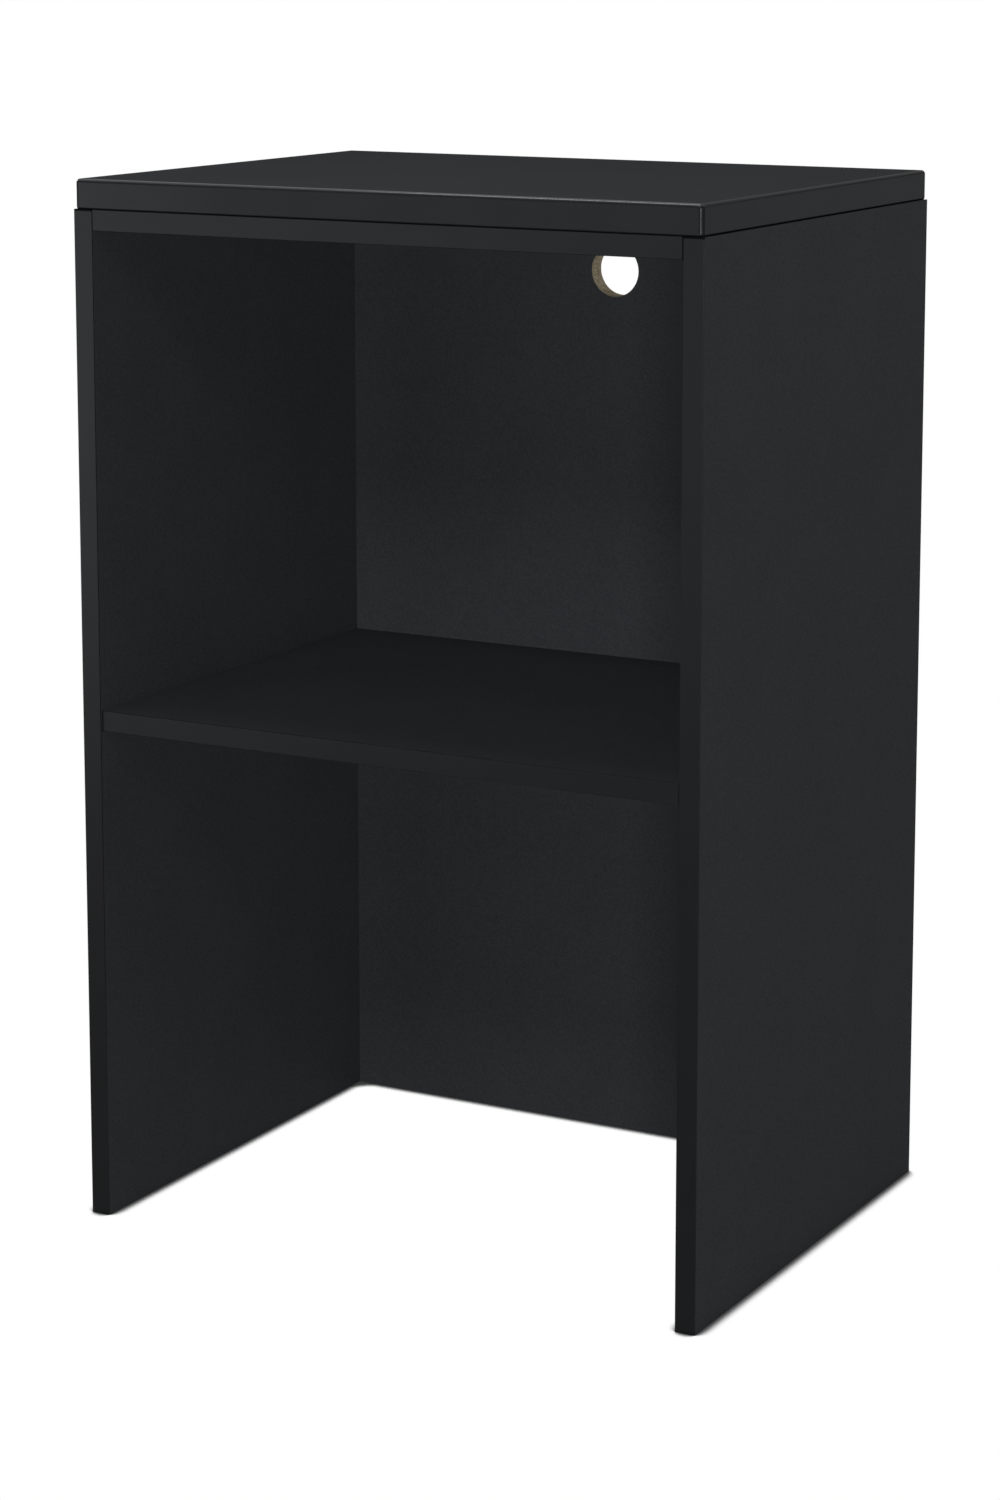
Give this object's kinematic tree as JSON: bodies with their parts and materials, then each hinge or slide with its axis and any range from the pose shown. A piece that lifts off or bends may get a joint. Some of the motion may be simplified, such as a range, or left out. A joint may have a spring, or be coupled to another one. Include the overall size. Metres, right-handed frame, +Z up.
{
  "type": "microwave hutch",
  "caption": "Open-fronted black laminate microwave hutch: box of boards with a banded worktop over a sub-top, a fixed shelf, an open bay below and a round cord hole in the back.",
  "frame": {"origin": "on the floor, at the middle of the footprint", "axes": "+Z up, the open front faces -Y, +X to the right of someone in front of it"},
  "size_m": [0.622, 0.472, 0.96],
  "materials": {
    "black_laminate_board": "fine satin black melamine on both faces of particle board",
    "black_edge_band": "satin black plastic edge band",
    "die_cast_zinc": "bare die-cast zinc",
    "zinc_plated_steel": "bright zinc plating",
    "beech_dowel": "bare fluted beech"
  },
  "bodies": {
    "carcass": {"worktop": "black_laminate_board", "worktop_band_front": "black_edge_band", "worktop_band_rear": "black_edge_band", "worktop_band_left": "black_edge_band", "worktop_band_right": "black_edge_band", "left_side_panel": "black_laminate_board", "left_side_band_front": "black_edge_band", "left_side_band_rear": "black_edge_band", "right_side_panel": "black_laminate_board", "right_side_band_front": "black_edge_band", "right_side_band_rear": "black_edge_band", "shelf_panel": "black_laminate_board", "shelf_band_front": "black_edge_band", "sub_top_panel": "black_laminate_board", "sub_top_band_front": "black_edge_band", "back_panel": "black_laminate_board", "shelf_cam_bolts": "zinc_plated_steel", "sub_top_cam_bolts": "zinc_plated_steel", "back_cam_bolts": "zinc_plated_steel", "shelf_dowels": "beech_dowel", "sub_top_dowels": "beech_dowel", "back_dowels": "beech_dowel", "back_screws": "zinc_plated_steel", "worktop_screws": "zinc_plated_steel"},
    "shelf_cam_left_front": {"shelf_cam_left_front": "die_cast_zinc"},
    "shelf_cam_left_rear": {"shelf_cam_left_rear": "die_cast_zinc"},
    "shelf_cam_right_front": {"shelf_cam_right_front": "die_cast_zinc"},
    "shelf_cam_right_rear": {"shelf_cam_right_rear": "die_cast_zinc"},
    "sub_top_cam_left_front": {"sub_top_cam_left_front": "die_cast_zinc"},
    "sub_top_cam_left_rear": {"sub_top_cam_left_rear": "die_cast_zinc"},
    "sub_top_cam_right_front": {"sub_top_cam_right_front": "die_cast_zinc"},
    "sub_top_cam_right_rear": {"sub_top_cam_right_rear": "die_cast_zinc"},
    "back_cam_left_lower": {"back_cam_left_lower": "die_cast_zinc"},
    "back_cam_left_middle": {"back_cam_left_middle": "die_cast_zinc"},
    "back_cam_left_upper": {"back_cam_left_upper": "die_cast_zinc"},
    "back_cam_right_lower": {"back_cam_right_lower": "die_cast_zinc"},
    "back_cam_right_middle": {"back_cam_right_middle": "die_cast_zinc"},
    "back_cam_right_upper": {"back_cam_right_upper": "die_cast_zinc"}
  },
  "joints": [
    {"name": "shelf_cam_left_front_turn", "type": "hinge", "parent": "carcass", "child": "shelf_cam_left_front", "pos_m": [-0.268, -0.176, 0.4685], "axis": [0, 0, -1], "range_deg": [0, 180]},
    {"name": "shelf_cam_left_rear_turn", "type": "hinge", "parent": "carcass", "child": "shelf_cam_left_rear", "pos_m": [-0.268, 0.154, 0.4685], "axis": [0, 0, -1], "range_deg": [0, 180]},
    {"name": "shelf_cam_right_front_turn", "type": "hinge", "parent": "carcass", "child": "shelf_cam_right_front", "pos_m": [0.268, -0.176, 0.4685], "axis": [0, 0, -1], "range_deg": [0, 180]},
    {"name": "shelf_cam_right_rear_turn", "type": "hinge", "parent": "carcass", "child": "shelf_cam_right_rear", "pos_m": [0.268, 0.154, 0.4685], "axis": [0, 0, -1], "range_deg": [0, 180]},
    {"name": "sub_top_cam_left_front_turn", "type": "hinge", "parent": "carcass", "child": "sub_top_cam_left_front", "pos_m": [-0.268, -0.176, 0.9235], "axis": [0, 0, -1], "range_deg": [0, 180]},
    {"name": "sub_top_cam_left_rear_turn", "type": "hinge", "parent": "carcass", "child": "sub_top_cam_left_rear", "pos_m": [-0.268, 0.154, 0.9235], "axis": [0, 0, -1], "range_deg": [0, 180]},
    {"name": "sub_top_cam_right_front_turn", "type": "hinge", "parent": "carcass", "child": "sub_top_cam_right_front", "pos_m": [0.268, -0.176, 0.9235], "axis": [0, 0, -1], "range_deg": [0, 180]},
    {"name": "sub_top_cam_right_rear_turn", "type": "hinge", "parent": "carcass", "child": "sub_top_cam_right_rear", "pos_m": [0.268, 0.154, 0.9235], "axis": [0, 0, -1], "range_deg": [0, 180]},
    {"name": "back_cam_left_lower_turn", "type": "hinge", "parent": "carcass", "child": "back_cam_left_lower", "pos_m": [-0.268, 0.2235, 0.1], "axis": [0, 1, 0], "range_deg": [0, 180]},
    {"name": "back_cam_left_middle_turn", "type": "hinge", "parent": "carcass", "child": "back_cam_left_middle", "pos_m": [-0.268, 0.2235, 0.4685], "axis": [0, 1, 0], "range_deg": [0, 180]},
    {"name": "back_cam_left_upper_turn", "type": "hinge", "parent": "carcass", "child": "back_cam_left_upper", "pos_m": [-0.268, 0.2235, 0.833], "axis": [0, 1, 0], "range_deg": [0, 180]},
    {"name": "back_cam_right_lower_turn", "type": "hinge", "parent": "carcass", "child": "back_cam_right_lower", "pos_m": [0.268, 0.2235, 0.1], "axis": [0, 1, 0], "range_deg": [0, 180]},
    {"name": "back_cam_right_middle_turn", "type": "hinge", "parent": "carcass", "child": "back_cam_right_middle", "pos_m": [0.268, 0.2235, 0.4685], "axis": [0, 1, 0], "range_deg": [0, 180]},
    {"name": "back_cam_right_upper_turn", "type": "hinge", "parent": "carcass", "child": "back_cam_right_upper", "pos_m": [0.268, 0.2235, 0.833], "axis": [0, 1, 0], "range_deg": [0, 180]}
  ]
}
